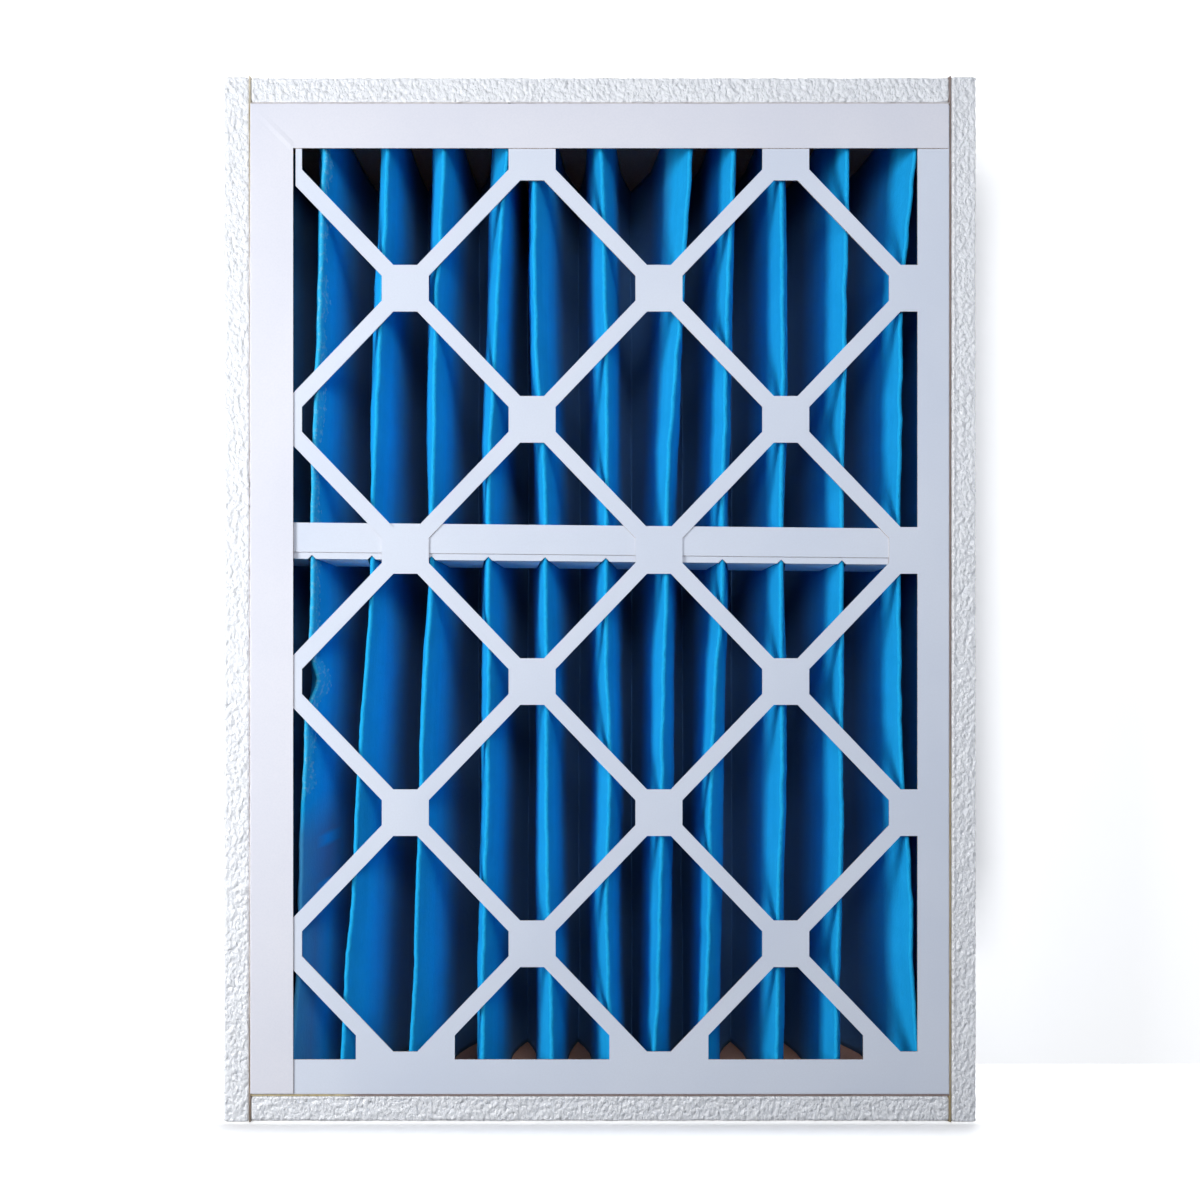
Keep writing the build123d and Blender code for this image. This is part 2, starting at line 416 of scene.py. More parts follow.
def front_fold_lines(z):
    """X of the left edge, the 11 front folds and the right edge at each height z."""
    number = np.arange(11)[None, :]
    free = 0.15 + 0.85 * freedom(z)[:, None]
    x = comb_folds + through(fold_heights, fold_drift, z)
    x = x + free * (0.7 * wander(11, z[:, None] / 38, number * 7.3)
                    + 0.35 * wander(12, z[:, None] / 11, number * 5.1)
                    + 0.22 * wander(13, z[:, None] / 4.2, number * 3.7))
    edge = np.full((len(z), 1), media_high[0])
    return np.hstack([-edge, x, edge])


rear_folds = np.concatenate([[media_low[0]], comb_folds, [media_high[0]]])
rear_folds = (rear_folds[:-1] + rear_folds[1:]) / 2


def rear_fold_lines(z):
    """X of the 12 rear folds at each height, half way between front folds at the comb."""
    return rear_folds + 0.9 * wander(14, z[:, None] / 60, np.arange(12)[None, :] * 6.1)


print("rear folds", len(rear_folds))


# %% One turn and one leaf
def turn(x, edge, inwards, angles, radius):
    """Points round one fold: a circle of the given radius about the fold's middle, which lies
    one nose radius inside the edge. The angle runs from one flank to the other."""
    nose = nose_radius * inwards
    return np.stack([x[:, None] + radius * np.sin(angles),
                     edge + nose - inwards * radius * np.cos(angles) + 0 * x[:, None]], axis=-1)


def flank(start, end, share, bulge, sway):
    """Points across a leaf from one fold to the next. Depth grows evenly. Sideways it is an S,
    share + bulge * sin(2 pi share) / 2 pi, so that both folds are plump, and a sway is added
    that is greatest half way."""
    side = share + bulge[:, None] * np.sin(2 * np.pi * share) / (2 * np.pi)
    x = start[:, None, 0] * (1 - side) + end[:, None, 0] * side
    y = start[:, None, 1] * (1 - share) + end[:, None, 1] * share
    return np.stack([x + sway[:, None] * np.sin(np.pi * share), y], axis=-1)


print("a fold's nose is", 2 * nose_radius, "mm thick")

# %% The sheet's two sides
nose_angles = np.radians([-84, -58, -30, 0, 30, 58, 84])      # points round a front fold
crease_angles = np.radians([-84, -32, 32, 84])                # and round a rear fold
leaf_shares = np.array([0.05, 0.12, 0.26, 0.5, 0.74, 0.88, 0.95])


def media_sides(z):
    """The front and the rear side of the sheet, each a grid of (x, y), and for each side how
    close each column is to the crest of one of its own folds, from 0 to 1."""
    front_x, rear_x = front_fold_lines(z), rear_fold_lines(z)
    y_front, y_rear = media_low[1], media_high[1]
    left_edge = np.stack([front_x[:, 0], y_front + 0 * z], axis=-1)[:, None]
    right_edge = np.stack([front_x[:, -1], y_front + 0 * z], axis=-1)[:, None]
    inset = np.array([sheet_thickness, 0])
    sides = ([left_edge + inset], [left_edge])
    crests = ([np.zeros(1)], [np.zeros(1)])
    flat, round_rear = np.zeros(len(leaf_shares)), np.cos(crease_angles)
    for k in range(len(rear_folds)):
        plump = freedom(z) * (0.75 + 0.2 * wander(15, z / 60, k * 4.7))
        sway = freedom(z) * (0.7 * wander(16, z / 80, k * 4.7) + 0.1 * wander(17, z / 22, k * 3.3))
        rear_turns = [turn(rear_x[:, k], y_rear, -1, crease_angles, radius)
                      for radius in (crease_radius, nose_radius)]
        if k < len(comb_folds):
            round_front = np.cos(nose_angles)
            next_turns = [turn(front_x[:, k + 1], y_front, 1, nose_angles, radius)
                          for radius in (nose_radius, crease_radius)]
        else:
            round_front = np.zeros(1)
            next_turns = [right_edge - inset, right_edge]
        for side in (0, 1):
            before, middle, after = sides[side][-1][:, -1], rear_turns[side], next_turns[side]
            sides[side].extend([flank(before, middle[:, 0], leaf_shares, plump, sway), middle,
                                flank(middle[:, -1], after[:, 0], leaf_shares, plump, -sway),
                                after])
        crests[0].extend([flat, 0 * round_rear, flat, round_front])
        crests[1].extend([flat, round_rear, flat, 0 * round_front])
    front_side, rear_side = (np.concatenate(side, axis=1) for side in sides)
    return front_side, rear_side, np.concatenate(crests[0]), np.concatenate(crests[1])


print("columns on each side:", media_sides(media_low[2:])[0].shape[1])


# %% The closed sheet
def pleated_sheet(rows):
    """The closed sheet: its front side from left to right and its rear side back again, joined
    along both edges, with a strip of quads closing it at the top and at the bottom. Returns the
    points, the quads, how near a crest each point is, and its depth in the pleats."""
    z = np.linspace(media_low[2], media_high[2], rows)
    front_side, rear_side, front_crest, rear_crest = media_sides(z)
    outline = np.concatenate([front_side, rear_side[:, ::-1]], axis=1)
    columns = outline.shape[1]
    points = np.dstack([outline, np.broadcast_to(z[:, None], outline.shape[:2])])
    quads = grid_quads(rows, columns, close_across=True)
    a = np.arange(columns // 2 - 1)
    cap = np.stack([a, columns - 1 - a, columns - 2 - a, a + 1], axis=-1)
    quads = np.vstack([quads, cap, cap[:, ::-1] + (rows - 1) * columns])
    crest = np.broadcast_to(np.concatenate([front_crest, rear_crest[::-1]]), (rows, columns))
    from_front = (outline[..., 1] - media_low[1]) / pleat_depth
    seen_from_rear = np.arange(columns) >= columns // 2
    return points, quads, crest, np.where(seen_from_rear, 1 - from_front, from_front)


media_points, media_quads, media_crest, media_depth = pleated_sheet(165)
media_z = media_points[..., 2]
print("media points", media_points.shape, "quads", len(media_quads))


# %% A knock on the first fold
dent_height = 221.0          # mm above the floor
dent_reach = (9.0, 16.0, 8.5)        # mm sideways, deep and up and down
dent_push = (3.0, 6.0)               # mm sideways and inwards


def dent(z):
    """How far the first fold is knocked in at each height z: the bell curve of its distance
    from the knock over its reach, 1 in the middle and next to nothing 20 mm away."""
    return np.exp(-((z - dent_height) / dent_reach[2]) ** 2)


from_fold = media_points[..., 0] - front_fold_lines(media_z[:, 0])[:, 1:2]
knocked = dent(media_z) * np.exp(-(from_fold / dent_reach[0]) ** 2)
knocked = knocked * np.exp(-((media_points[..., 1] - media_low[1]) / dent_reach[1]) ** 2)
media_points[..., 0] += dent_push[0] * knocked
media_points[..., 1] += dent_push[1] * knocked
print(f"the first fold is knocked in by {dent_push[1] * knocked.max():.1f} mm")

# %% [markdown]
# ## Dyed nonwoven fibre
# Filter media is a mat of fine polyester fibres, dyed blue. It has no gloss: light sinks in
# between the fibres. The material mixes the dye's own blue with a paler blue where the mesh's
# `crest` number is high, partly loose fibre and partly a painted highlight along the fold crests,
# and by `depth` with a duller, greyer blue deep in the pleats, which is painted shade.
# `lifted` marks the crest of the first fold, where the top layer of fibre has come up in pale
# tufts. The fibres are finer than a picture can show, so the strands are drawn 1.1 mm apart.


# %% Dye of the fibre, and painted shade deep in the pleats
def fibre_dye_and_pleat_shade(media, place, strands):
    """The dye: two blues that drift over 14 mm, with darker streaks drawn out along the
    folds and darker strands between. Deep in the pleats a duller, greyer blue is mixed in, which
    is painted shade."""
    clumps = add(media, "ShaderNodeTexNoise", {"Vector": place, "Scale": per_metre(14.0),
                                               "Detail": 3.0}).outputs["Fac"]
    streaks = add(media, "ShaderNodeMapping", {"Vector": place, "Scale": (1.0, 1.0, 0.04)})
    drawn = add(media, "ShaderNodeTexNoise", {"Vector": streaks.outputs[0],
                                              "Scale": per_metre(5.0),
                                              "Detail": 3.0}).outputs["Fac"]
    dye = blend_colours(media, ramp(media, clumps, 0.35, 0.65), linear("#20B4FA"),
                        linear("#24BAFF"))
    dye = blend_colours(media, ramp(media, drawn, 0.35, 0.65, 0.0, 0.22), dye,
                        linear("#0A98E4"))
    dye = blend_colours(media, ramp(media, strands, 0.35, 0.7, 0.0, 0.2), dye,
                        linear("#109CE8"))
    # Painted shade: deeper in the pleats the colour goes to a duller, greyer blue.
    depth = add(media, "ShaderNodeAttribute", attribute_name="depth").outputs["Fac"]
    return blend_colours(media, ramp(media, depth, 0.16, 0.7, 0.0, 0.92), dye,
                         linear("#5E82B0"))


print("the dye is", [round(float(v), 2) for v in linear("#20B4FA")[:3]])


# %% Media material
def media_finish():
    """Dyed polyester nonwoven."""
    media = finish_named("dyed_polyester_nonwoven")
    place = add(media, "ShaderNodeTexCoord").outputs["Object"]
    along = add(media, "ShaderNodeMapping", {"Vector": place, "Scale": (1.0, 1.0, 0.35)})
    strands = add(media, "ShaderNodeTexNoise", {"Vector": along.outputs[0],
                                                "Scale": per_metre(1.1), "Detail": 5.0,
                                                "Roughness": 0.65}).outputs["Fac"]
    tufts = add(media, "ShaderNodeTexNoise", {"Vector": place, "Scale": per_metre(2.6),
                                              "Detail": 4.0, "Roughness": 0.6}).outputs["Fac"]
    crest = add(media, "ShaderNodeAttribute", attribute_name="crest").outputs["Fac"]
    lifted = add(media, "ShaderNodeAttribute", attribute_name="lifted").outputs["Fac"]
    # Painted highlight with loose fibre: a paler blue where the crest number is high.
    crest_fibre_and_highlight = formula(media, "ADD", crest, ramp(media, tufts, 0.3, 0.7, -0.5, 0.5))
    colour = blend_colours(media, ramp(media, crest_fibre_and_highlight, 0.7, 0.8, 0.0, 0.25),
                           fibre_dye_and_pleat_shade(media, place, strands), linear("#34CCFF"))
    torn = formula(media, "ADD", lifted, ramp(media, tufts, 0.3, 0.7, -0.12, 0.12))
    layer = formula(media, "MULTIPLY", ramp(media, torn, 0.49, 0.51),
                    ramp(media, strands, 0.3, 0.65, 0.75, 1.0))
    colour = blend_colours(media, layer, colour, linear("#36C0FA"))
    fluff = formula(media, "MULTIPLY", layer, ramp(media, tufts, 0.52, 0.62, 0.0, 0.4))
    colour = blend_colours(media, fluff, colour, linear("#A8DEFF"))
    heights = formula(media, "ADD", strands, formula(media, "MULTIPLY", layer, 0.8))
    loose = formula(media, "MULTIPLY", formula(media, "MULTIPLY", tufts, crest), 2.5)
    fuzz = add(media, "ShaderNodeBump", {"Height": formula(media, "ADD", heights, loose),
                                         "Strength": 0.6, "Distance": 0.5 * mm})
    shader = add(media, "ShaderNodeBsdfPrincipled",
                 {"Base Color": colour, "Roughness": 0.95, "IOR": 1.45,
                  "Specular IOR Level": 0.04, "Normal": fuzz.outputs[0]})
    add(media, "ShaderNodeOutputMaterial", {"Surface": shader.outputs[0]})
    return media


media_material = media_finish()
print("made", media_material.name)

# %% The folded sheet
shaded_below = 165.0     # mm; under this the first fold stands behind the flange, out of light
lifted_above = 150.0     # mm; over this its crest shows lifted fibre
media_piece = make_piece("folded_media", media_points, media_quads, media_material)
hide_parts("pleated_media")
# Painted shade from the flange: below shaded_below the first fold's crest highlight is taken out
# and its colour moved towards the deep-pleat blue.
flange_painted_shade = np.clip((shaded_below - media_z) / 25, 0, 1) * (np.abs(from_fold) < 8)
store(media_piece, "crest", media_crest * (1 - flange_painted_shade))
on_front = media_depth < 0.5
store(media_piece, "depth", np.clip(media_depth + 0.45 * flange_painted_shade * on_front, 0, 1))
first_nose = 1 + 2 * len(leaf_shares) + len(crease_angles)
next_leaf_end = first_nose + len(nose_angles) + len(leaf_shares)
lifted_columns = np.zeros(media_z.shape[1])
lifted_columns[first_nose + 1:next_leaf_end] = 1
lifted_band = np.clip((media_z - lifted_above) / 20, 0, 1) * lifted_columns
lifted_width = (6 + 3 * wander(21, media_z / 13) + 1.5 * wander(22, media_z / 4)
                + 12 * dent(media_z))
lifted_edge = (lifted_width - media_depth * pleat_depth) / 20
store(media_piece, "lifted", np.clip(0.5 + lifted_edge, 0, 1) * lifted_band)
close_up(media_piece)

# %% [markdown]
# ## The foam gasket
# The strips are cut from closed-cell foam whose beads show as a pebbled skin. A strip is one
# closed tube: a rectangle with softened corners, carried along its length, and closed by rings
# that draw in to a line at each end. Beads are domes round scattered points, so the height at a
# place depends on how far the nearest point is. The skin is only pushed in between the beads,
# never out, and the side on the tape stays flat.


# %% Pebbled skin
cells = 128      # beads of the field each way, after which it repeats


def beads(seed, u, v):
    """Height from 0 to 1 of close-packed beads over the plane (u, v), one to each unit cell.
    A bead is a dome: its own size times one minus the squared distance to its middle."""
    random = np.random.default_rng(seed)
    middle = random.uniform(0.12, 0.88, (cells, cells, 2))
    size = random.uniform(0.55, 1.0, (cells, cells))
    i, j = np.floor(u).astype(int), np.floor(v).astype(int)
    height = np.zeros(np.shape(u))
    for p in (-1, 0, 1):
        for q in (-1, 0, 1):
            cell = (i + p) % cells, (j + q) % cells
            du = u - (i + p) - middle[cell][..., 0]
            dv = v - (j + q) - middle[cell][..., 1]
            height = np.maximum(height, size[cell] * (1 - 1.15 * (du * du + dv * dv)))
    return height


sample = np.linspace(0, 40, 200)
sample_height = beads(5, *np.meshgrid(sample, sample))
print(f"beads from {sample_height.min():.2f} to {sample_height.max():.2f}")


# %% A strip's section and ends
flat_rings = np.array([1, 0.75, 0.5, 0.3])   # half widths that each ring of an end is drawn in by
edge_angles = np.radians([90, 60, 30])       # rings of the quarter circle round an end's edge
end_rings = len(flat_rings) + len(edge_angles)


def strip_section(thickness, depth, corner, fine, coarse):
    """A strip's section and the outward direction at each of its points: each side is a row of
    points (fine on the narrow faces, coarse on the wide ones), and each corner a quarter turn."""
    a, b = thickness / 2 - corner, depth / 2 - corner
    corners = np.array([(-a, -b), (a, -b), (a, b), (-a, b)])
    points, outward = [], []
    for k, count in enumerate((fine, coarse, fine, coarse)):
        share = np.linspace(0, 1, count)[:, None]
        side = corners[k] * (1 - share) + corners[(k + 1) % 4] * share
        bend = np.repeat(corners[(k + 1) % 4][None], 3, axis=0)
        angle = np.radians(90 * k - 90 + np.concatenate([np.zeros(count), [22.5, 45, 67.5]]))
        out = np.stack([np.cos(angle), np.sin(angle)], axis=-1)
        points.append(np.vstack([side, bend]) + corner * out)
        outward.append(out)
    return np.vstack(points), np.vstack(outward)


def strip_surface(section, push, outward, rows, half, corner):
    """Carries a section along rows and closes both ends. Each end is a set of rings: a quarter
    circle round its edge, then rings drawn in by more and more, down to a line."""
    inset = np.concatenate([half * flat_rings, corner * (1 - np.cos(edge_angles))])
    place = np.concatenate([0 * flat_rings, corner * (1 - np.sin(edge_angles))])
    insets = np.concatenate([inset, 0 * rows, inset[::-1]])
    places = np.concatenate([rows[0] - corner + place, rows, rows[-1] + corner - place[::-1]])
    still = np.zeros((end_rings, push.shape[1]))
    push = np.vstack([still, push, still])
    shrink = 1 - insets[:, None, None] / np.abs(section).max(axis=0)
    across = section[None] * shrink + outward[None] * push[..., None]
    return np.dstack([across, np.broadcast_to(places[:, None], push.shape)])


print("rings at each end of a strip:", end_rings)


# %% Foam strip
def foam_strip(seed, length, thickness, depth, glued_side, rim):
    """A foam strip along its length from 0, as points (across, depth, along) and how hollow the
    skin is at each. Beads are drawn out along a diagonal, as the knife left them. glued_side is
    the side across, -1 or 1, that stays flat, with a rim of so many millimetres beside it."""
    corner, pit, row_step = 1.7, 1.1, 0.72
    end_hollow = 0.3
    section, outward = strip_section(thickness, depth, corner, 22, 30)
    rows = np.arange(corner, length - corner, row_step)
    rows[-1] = length - corner
    round_it = np.concatenate([[0], np.cumsum(np.linalg.norm(np.diff(section, axis=0), axis=1))])
    u, v = rows[:, None], round_it[None, :]
    u, v = u + 0.5 * wander(seed + 1, u / 5, v / 5), v + 0.5 * wander(seed + 4, u / 5, v / 5)
    along, over = (u + v) / math.sqrt(2), (u - v) / math.sqrt(2)
    height = 0.7 * beads(seed, along / 2.5, over / 2.1) + 0.3 * beads(seed + 2, u / 1.4, v / 1.4)
    height = height * (0.82 + 0.18 * wander(seed + 3, u / 9, v / 9))
    from_tape = thickness / 2 - glued_side * section[:, 0]
    loose = np.clip((from_tape - rim) / 0.9, 0, 1)[None, :]
    hollow = (1 - height) * loose
    points = strip_surface(section, -pit * hollow, outward, rows, thickness / 2, corner)
    ends = np.full((end_rings, len(section)), end_hollow)
    return points, np.vstack([ends, hollow, ends])


trial_length = 50      # mm
trial_hollow = foam_strip(1, trial_length, 12, 95, 1, 0.3)[1]
print(f"{trial_length} mm of strip has {trial_hollow.size} points")

# %% [markdown]
# ## White foam
# Closed-cell polyethylene foam is a mass of thin clear bubbles, so it looks white. Light that
# enters one bubble leaves by another a millimetre away: hollows fill with light and shadows
# stay pale, which is what the subsurface share gives. The cut skin is a little glossy. A touch
# of cool grey, painted shade, goes where the mesh says that the skin is hollow, and a bump
# carries the folds and bubbles that are too small for the mesh, drawn out along the same slant
# as the beads.


# %% Foam material
def foam_finish():
    """Cut closed-cell polyethylene foam."""
    foam = finish_named("white_polyethylene_foam")
    place = add(foam, "ShaderNodeTexCoord").outputs["Object"]
    hollow = add(foam, "ShaderNodeAttribute", attribute_name="hollow").outputs["Fac"]
    slanted = add(foam, "ShaderNodeMapping", {"Vector": place,
                                              "Rotation": (0, math.radians(35), 0),
                                              "Scale": (1.0, 1.0, 0.72)}).outputs[0]
    folds = add(foam, "ShaderNodeTexNoise", {"Vector": slanted, "Scale": per_metre(2.3),
                                             "Detail": 2.0, "Roughness": 0.55}).outputs["Fac"]
    bubbles = add(foam, "ShaderNodeTexVoronoi", {"Vector": slanted, "Scale": per_metre(1.7)},
                  feature="F1").outputs["Distance"]
    # Painted shade: cool grey mixed in where the skin is hollow.
    shade = formula(foam, "MULTIPLY", ramp(foam, hollow, 0.4, 0.95), 0.06)
    colour = blend_colours(foam, shade, linear("#F2F5FF"), linear("#B4B8E0"))
    domes = formula(foam, "MULTIPLY", formula(foam, "MULTIPLY", bubbles, bubbles), -0.45)
    height = formula(foam, "ADD", domes, formula(foam, "MULTIPLY", folds, 1.5))
    skin = add(foam, "ShaderNodeBump", {"Height": height, "Strength": 1.0,
                                        "Distance": 1.1 * mm})
    shader = add(foam, "ShaderNodeBsdfPrincipled",
                 {"Base Color": colour, "Roughness": 0.3, "IOR": 1.5,
                  "Specular IOR Level": 0.7, "Subsurface Weight": 0.4,
                  "Subsurface Radius": (1.0, 1.0, 1.0), "Subsurface Scale": 0.9 * mm,
                  "Normal": skin.outputs[0]})
    add(foam, "ShaderNodeOutputMaterial", {"Surface": shader.outputs[0]})
    return foam


foam_material = foam_finish()
print("made", foam_material.name)


# %% Foam pieces
def lay_strip(points, node):
    """Turns (across, depth, along) into the filter's own axes, at the node's place: an upright
    strip keeps them, and a level one is rolled over so that its length lies along X."""
    low, high = span(node)
    middle = (low + high) / 2
    if high[2] - low[2] > high[0] - low[0]:
        return points + (middle[0], middle[1], low[2])
    return np.dstack([points[..., 2] + low[0], points[..., 1] + middle[1],
                      middle[2] - points[..., 0]])


def strip_sizes(node):
    """Length, thickness and depth of a node that is a straight strip, in millimetres."""
    low, high = span(node)
    wide, deep, tall = high - low
    return max(wide, tall), min(wide, tall), deep


glued = {"left": 1, "right": -1, "bottom": -1, "top": 1}     # side across that is on the tape
smooth_rim = {"left": 0.3, "right": 1.5, "bottom": 0.9, "top": 0.3}      # mm
for number, (side, glued_side) in enumerate(glued.items()):
    node = f"foam_strip_{side}"
    foam_points, foam_hollow = foam_strip(40 + 10 * number, *strip_sizes(node), glued_side,
                                          smooth_rim[side])
    foam_quads = grid_quads(*foam_points.shape[:2], close_across=True)
    foam_piece = make_piece(f"pebbled_{node}", lay_strip(foam_points, node), foam_quads,
                            foam_material)
    store(foam_piece, "hollow", foam_hollow)
    close_up(foam_piece)
    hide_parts(node)
    print(node, "has", len(foam_piece.data.polygons), "faces")

# %% [markdown]
# ## Yellowed tape
# Each strip is held by double-sided tape. Its adhesive has yellowed and squeezed forward by
# a little, more in one place than another, so its edge shows as a thin tan line that wanders.
# Most of the left strip's tape is still clean and white. The tape is the same kind of strip as
# the foam, only thin and smooth, and two numbers on its mesh say how `aged` and how `clean`
# each place is.


# %% Tape material
def tape_finish():
    """Yellowed acrylic adhesive, a little glossy and unevenly dirty."""
    tape = finish_named("yellowed_adhesive_tape")
    place = add(tape, "ShaderNodeTexCoord").outputs["Object"]
    patches = add(tape, "ShaderNodeTexNoise", {"Vector": place, "Scale": per_metre(22.0),
                                               "Detail": 4.0}).outputs["Fac"]
    grime = add(tape, "ShaderNodeTexNoise", {"Vector": place, "Scale": per_metre(3.0),
                                             "Detail": 4.0}).outputs["Fac"]
    yellow = blend_colours(tape, ramp(tape, patches, 0.35, 0.65), linear("#D6CBAE"),
                           linear("#B3A070"))
    aged = add(tape, "ShaderNodeAttribute", attribute_name="aged").outputs["Fac"]
    clean = add(tape, "ShaderNodeAttribute", attribute_name="clean").outputs["Fac"]
    colour = blend_colours(tape, aged, linear("#8A7A7C"), yellow)
    colour = blend_colours(tape, clean, colour, linear("#EEEDF4"))
    colour = blend_colours(tape, ramp(tape, grime, 0.5, 0.75, 0.0, 0.4), colour,
                           linear("#6E5850"))
    rough = add(tape, "ShaderNodeBump", {"Height": grime, "Strength": 0.4,
                                         "Distance": 0.2 * mm})
    shader = add(tape, "ShaderNodeBsdfPrincipled",
                 {"Base Color": colour, "Roughness": 0.42, "IOR": 1.47,
                  "Normal": rough.outputs[0]})
    add(tape, "ShaderNodeOutputMaterial", {"Surface": shader.outputs[0]})
    return tape


tape_material = tape_finish()
print("made", tape_material.name)


# %% Tape pieces
def rising(place, start, over, low=0, high=1):
    """How far a place is past the start, as a share of a distance, held between two limits.
    With the signs of place and start turned, it rises the other way."""
    return np.clip((place - start) / over, low, high)


def tape_age(side, x, z):
    """How yellow each strip's tape is over X and height Z: the left one towards the top, the
    right one towards the foot, the bottom one in its left corner, the top one in patches."""
    if side == "left":
        return 0.3 + 0.6 * rising(z, 350, 100)
    if side == "right":
        return 0.15 + 0.6 * rising(-z, -200, 30)
    if side == "bottom":
        return rising(-x, 120, 10, 0.1)
    return 0.25 + 0.25 * wander(97, x / 30)


def tape_cleanness(side, z):
    """How clean and white: the left strip's tape is, but for its two ends, and the top one's is
    by a little more than half."""
    if side == "left":
        patchy = 0.9 + 0.1 * wander(96, z / 30)
        return rising(z, 20, 130, 0, 0.85) * patchy * rising(-z, -520, 90, 0.25)
    return np.full(z.shape, 0.6 if side == "top" else 0.0)


held_back = {"left": 0.35, "right": 2.6, "bottom": 0.9, "top": 0.9}      # mm behind the front
for number, side in enumerate(glued):
    node = f"tape_{side}"
    length, thickness, depth = strip_sizes(node)
    corner = 0.15
    section, outward = strip_section(thickness, depth, corner, 3, 12)
    rows = np.linspace(corner, length - corner, 420)
    edge = wander(80 + number, rows / 17) + 0.5 * wander(90 + number, rows / 5)
    squeezed = 0.3 * edge[:, None] - held_back[side]
    squeezed = squeezed * (np.abs(outward[None, :, 1]) > 0.5)
    laid = lay_strip(strip_surface(section, squeezed, outward, rows, thickness / 2, corner), node)
    tape_piece = make_piece(f"squeezed_{node}", laid,
                            grid_quads(*laid.shape[:2], close_across=True), tape_material)
    store(tape_piece, "aged", np.clip(tape_age(side, laid[..., 0], laid[..., 2]), 0, 1))
    store(tape_piece, "clean", tape_cleanness(side, laid[..., 2]))
    close_up(tape_piece)
    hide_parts(node)
print("tape on", list(glued))

# %% [markdown]
# ## Studio
# The filter stands on a pale floor, close in front of a pale wall. Both look plain white to the
# camera, because a little of their own glow is added for camera rays, while the light that they
# return to the object is only that of a pale surface. Close to the filter the glow is faded by
# how much of the sky is open there, which paints a soft contact shadow. The wall lets through
# every ray but the camera's, so that the back of the filter is lit too, and it can't be seen from
# behind. The two key lamps stand to the left, so the shadow falls to the right. Weaker lamps in
# front, at the right and overhead keep the other sides readable, and one behind lights the back.


# %% Floor and wall material
shade_samples = 16      # rays of the ambient occlusion that finds what stands near
glow_strength = 0.6


def looked_at(owner, path):
    """1 for rays from the camera and for what gloss and glass show of the surroundings."""
    return formula(owner, "MAXIMUM", path["Is Camera Ray"],
                   formula(owner, "MAXIMUM", path["Is Glossy Ray"],
                           path["Is Transmission Ray"]))


def stage_finish(name, reach, darkest, axis, start, full, one_sided=False):
    """A matt pale surface that looks white where no shadow falls. Its glow fades close to the
    filter, which paints a contact shadow: where a piece stands nearer than reach, what is open to
    the sky sets the glow, and darkest is the open share at which nothing is left. The fade begins
    at start along an axis and is full at full, all in millimetres, so that it stays out of the
    corner behind."""
    pale = finish_named(name)
    path = add(pale, "ShaderNodeLightPath").outputs
    matt = add(pale, "ShaderNodeBsdfDiffuse", {"Color": (0.97, 0.97, 0.97, 1)})
    sky_open = add(pale, "ShaderNodeAmbientOcclusion", {"Distance": reach * mm},
                   samples=shade_samples).outputs["AO"]
    place = add(pale, "ShaderNodeTexCoord").outputs["Object"]
    along = add(pale, "ShaderNodeSeparateXYZ", {0: place}).outputs[axis]
    # Painted contact shadow: the glow is taken away where the sky is closed off near the filter,
    # only past start along the axis.
    painted_contact_shadow = formula(pale, "MULTIPLY", ramp(pale, sky_open, darkest, 0.99, 1.0, 0.0),
                    ramp(pale, along, start * mm, full * mm))
    strength = ramp(pale, painted_contact_shadow, 0.0, 1.0, glow_strength, 0.0)
    glow = add(pale, "ShaderNodeEmission", {"Color": (0.97, 0.98, 1, 1), "Strength": strength})
    lit = add(pale, "ShaderNodeAddShader", {0: matt.outputs[0], 1: glow.outputs[0]})
    if one_sided:
        unseen = add(pale, "ShaderNodeBsdfTransparent")
        behind = add(pale, "ShaderNodeNewGeometry").outputs["Backfacing"]
        seen = formula(pale, "MULTIPLY", path["Is Camera Ray"],
                       formula(pale, "SUBTRACT", 1.0, behind))
    else:
        unseen = add(pale, "ShaderNodeBsdfDiffuse", {"Color": (0.12, 0.125, 0.135, 1)})
        seen = looked_at(pale, path)
    surface = add(pale, "ShaderNodeMixShader", {0: seen, 1: unseen.outputs[0],
                                                2: lit.outputs[0]})
    add(pale, "ShaderNodeOutputMaterial", {"Surface": surface.outputs[0]})
    return pale


floor_material = stage_finish("pale_floor", 30, 0.65, "Y", -45, -50)
wall_material = stage_finish("pale_wall", 55, 0.8, "Z", 55, 120, one_sided=True)
print("made", floor_material.name, "and", wall_material.name)


# %% Floor and wall
def stage_plane(name, corners, material):
    """A large flat sheet through four corners, in metres."""
    mesh = bpy.data.meshes.new(name)
    mesh.from_pydata(corners, [], [(0, 1, 2, 3)])
    mesh.materials.append(material)
    plane = bpy.data.objects.new(name, mesh)
    bpy.context.scene.collection.objects.link(plane)


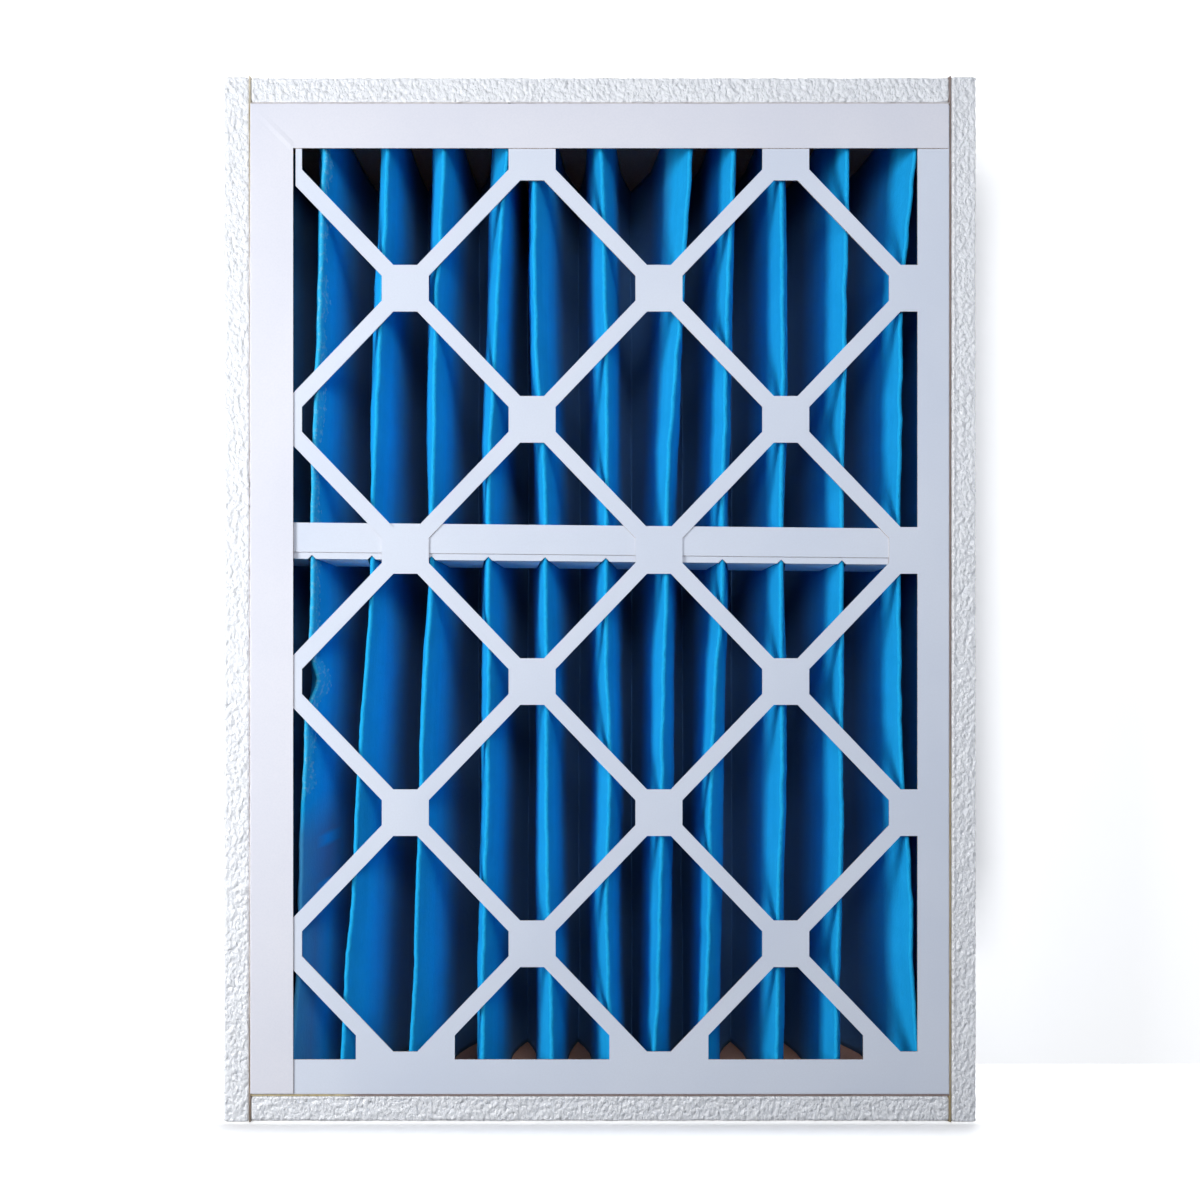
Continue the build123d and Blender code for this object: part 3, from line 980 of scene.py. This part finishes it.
stage_size = 4.0                           # metres each way
wall_y = whole_high[1] * mm + 0.002        # 2 mm behind the filter
stage_plane("floor", [(-stage_size, -stage_size, 0), (stage_size, -stage_size, 0),
                      (stage_size, stage_size, 0), (-stage_size, stage_size, 0)],
            floor_material)
stage_plane("wall", [(-stage_size, wall_y, 0), (stage_size, wall_y, 0),
                     (stage_size, wall_y, stage_size), (-stage_size, wall_y, stage_size)],
            wall_material)
print(f"the wall stands at Y {wall_y * 1000:.1f} mm")


# %% Lamps
filter_middle = mathutils.Vector((0, 0, total_height / 2 * mm))


def lamp(name, place, size, watts, tint="#FFFFFF"):
    """A square soft box at a place, turned towards the middle of the filter, in metres."""
    data = bpy.data.lights.new(name, "AREA")
    data.size = size
    data.energy = watts
    data.color = linear(tint)[:3]
    box = bpy.data.objects.new(name, data)
    box.location = place
    direction = filter_middle - mathutils.Vector(place)
    box.rotation_euler = direction.to_track_quat("-Z", "Y").to_euler()
    bpy.context.scene.collection.objects.link(box)


lamp("key", (-0.70, -0.52, 0.48), 0.3, 3.0, "#FFFEFB")
lamp("low_key", (-0.68, -0.52, 0.16), 0.3, 2.3, "#FFFEFB")
lamp("front", (-0.17, -0.85, 0.38), 0.2, 0.5, "#FFFEFB")
lamp("high_fill", (0.14, -0.85, 0.60), 0.35, 2.75, "#F8FBFF")
lamp("side_fill", (1.1, -0.02, 0.45), 0.3, 3.0)
lamp("overhead", (-0.12, 0.12, 1.5), 0.1, 1.4)
lamp("rear_fill", (0.5, 1.3, 0.6), 0.8, 11.0)

# %% Sky
sky_light = 0.11             # what the sky gives the filter; to the camera it is 1, plain white
world = bpy.data.worlds.new("studio")
bpy.context.scene.world = world
world.use_nodes = True
world.node_tree.nodes.clear()
sky_seen = looked_at(world, add(world, "ShaderNodeLightPath").outputs)
sky_strength = ramp(world, sky_seen, 0.0, 1.0, sky_light, 1.0)
sky_colour = blend_colours(world, sky_seen, (0.93, 0.98, 1.08, 1), (1, 1, 1, 1))
sky = add(world, "ShaderNodeBackground", {"Color": sky_colour, "Strength": sky_strength})
add(world, "ShaderNodeOutputWorld", {"Surface": sky.outputs[0]})
bpy.context.scene.view_settings.view_transform = "Standard"
print("view transform", bpy.context.scene.view_settings.view_transform)
